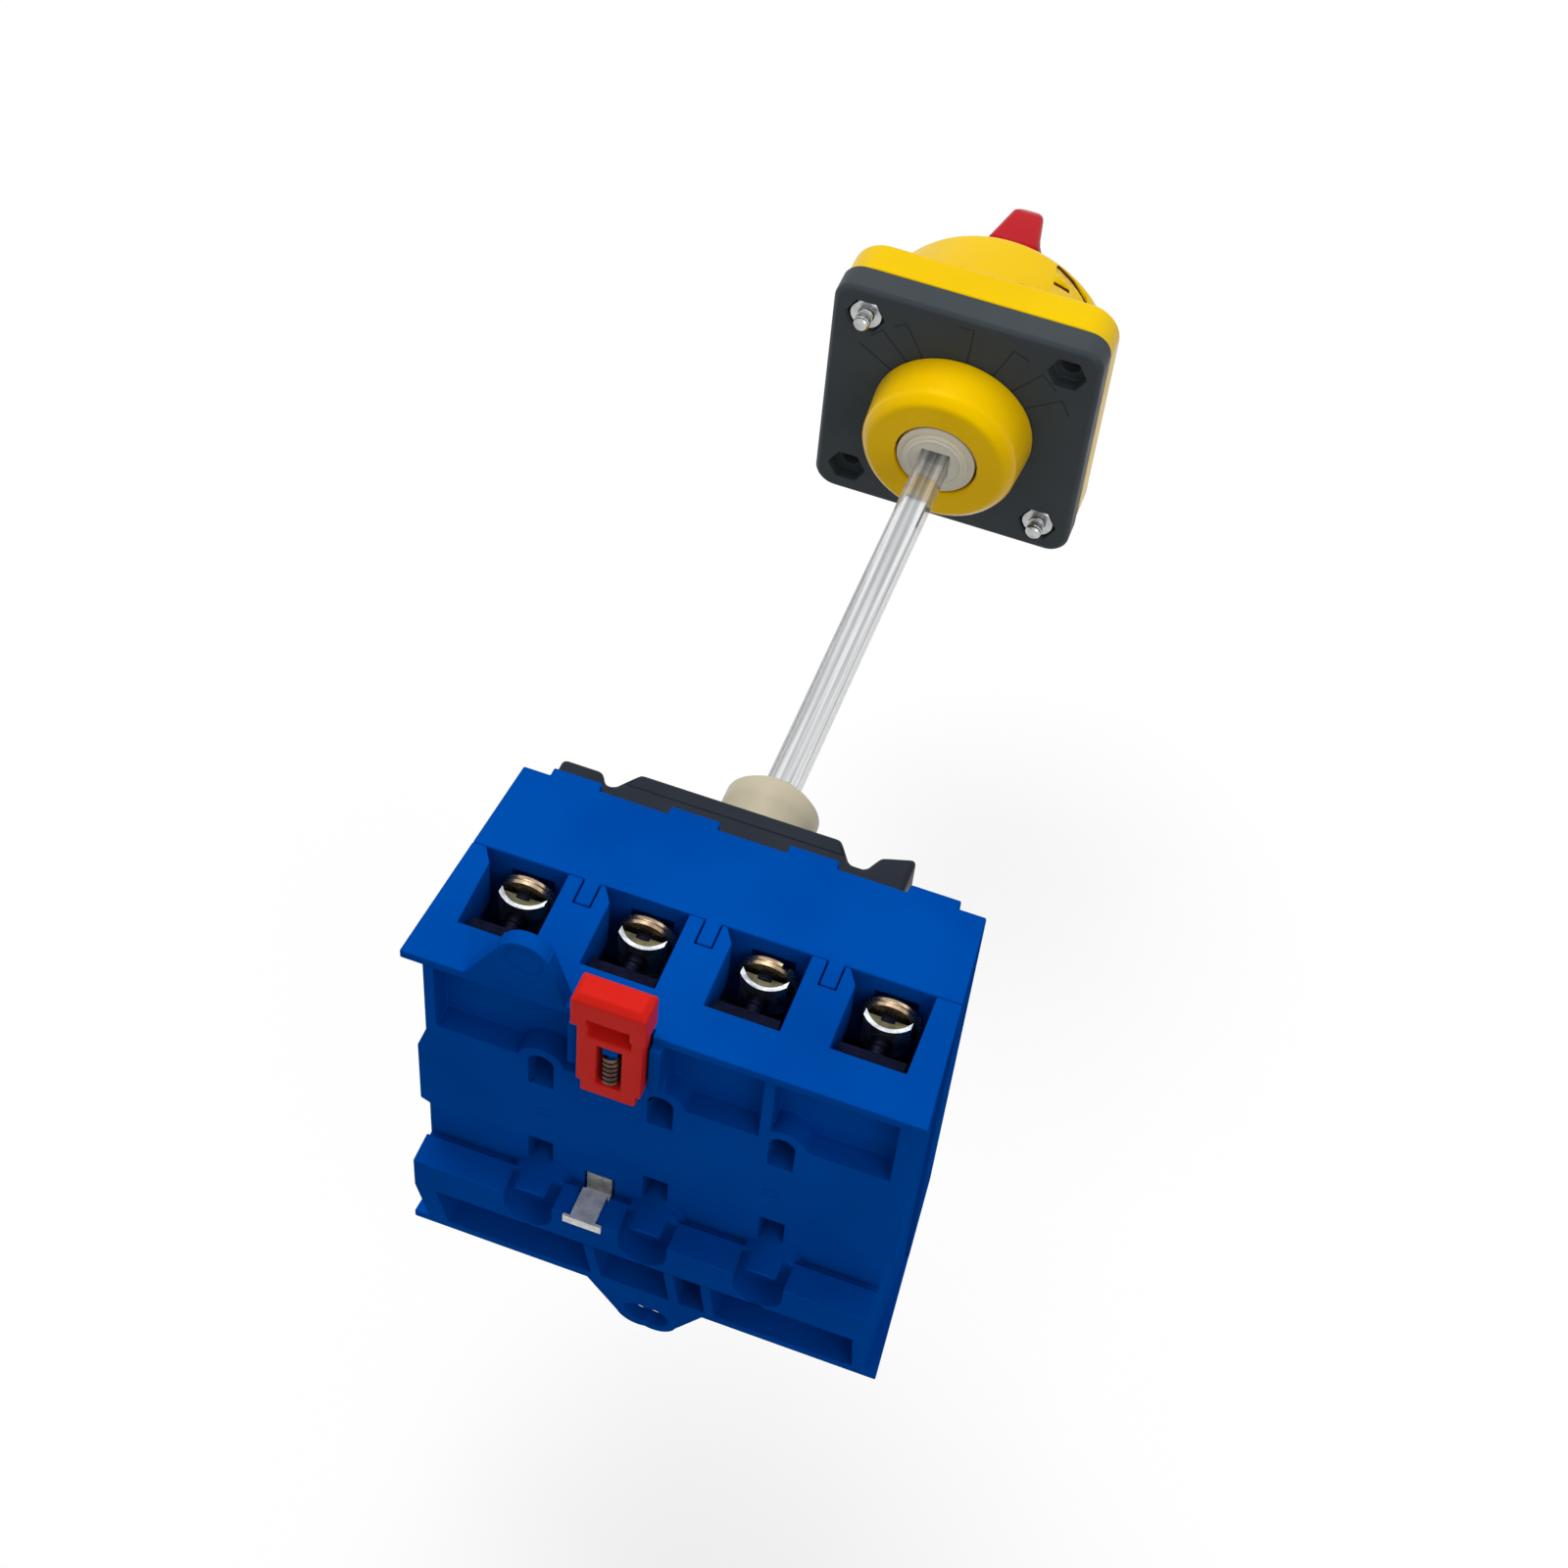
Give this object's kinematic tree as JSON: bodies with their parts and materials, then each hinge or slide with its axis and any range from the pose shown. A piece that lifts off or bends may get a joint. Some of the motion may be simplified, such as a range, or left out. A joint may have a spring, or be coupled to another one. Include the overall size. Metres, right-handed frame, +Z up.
{
  "type": "din rail switch disconnector",
  "caption": "Din rail switch disconnector: blue terminal block body with a red rail latch, a clear square drive shaft and a yellow and red door handle.",
  "frame": {"origin": "on the rail seat face of the base housing, on the axis of the drive shaft, at the middle height of the rail", "axes": "+Z up as mounted on an upright wall, towards the upper terminals; +Y out of the back, towards the rail; the door handle is towards -Y; X runs across the poles"},
  "size_m": [0.0735, 0.2076, 0.0885],
  "materials": {
    "housing_blue": "moulded blue plastic, fine satin",
    "frame_black": "moulded black plastic",
    "latch_red": "moulded red plastic",
    "knob_red": "smooth red plastic",
    "yellow": "moulded yellow plastic",
    "slate": "dark slate-grey plastic",
    "hub_beige": "beige plastic",
    "natural_white": "milky white plastic",
    "clear": "clear plastic",
    "steel": "zinc-plated steel",
    "spring_steel": "bright spring steel",
    "copper": "copper",
    "silver": "silver contact alloy"
  },
  "bodies": {
    "body": {"base_housing": "housing_blue", "front_cover": "housing_blue", "front_frame": "frame_black", "terminal_bars": "copper", "fixed_contact_tips": "silver", "terminal_screws": "steel", "wire_clamps": "steel", "body_screws": "steel", "rail_clip": "spring_steel", "latch_spring": "spring_steel", "handle_boss": "yellow", "handle_plate": "slate", "escutcheon": "yellow", "handle_screws": "steel", "handle_nuts": "steel"},
    "drive": {"drive_hub": "hub_beige", "extension_shaft": "clear", "coupling_ring": "natural_white", "knob": "knob_red"},
    "carriage": {"contact_carriage": "natural_white", "moving_contacts": "copper", "contact_springs": "spring_steel"},
    "latch": {"rail_latch": "latch_red"}
  },
  "joints": [
    {"name": "drive_turn", "type": "hinge", "parent": "body", "child": "drive", "pos_m": [0, -0.06, 0], "axis": [0, 1, 0], "range_deg": [0, 90]},
    {"name": "carriage_slide", "type": "slide", "parent": "body", "child": "carriage", "axis": [0, 1, 0], "range_m": [0, 0.004]},
    {"name": "latch_lift", "type": "slide", "parent": "body", "child": "latch", "axis": [0, 0, 1], "range_m": [0, 0.003], "stiffness_N_per_m": 400, "springref_m": -0.002, "deforming": ["latch_spring"]}
  ],
  "couplings": [
    {"joint": "carriage_slide", "follows": "drive_turn", "m_per_rad": 0.0025465}
  ]
}
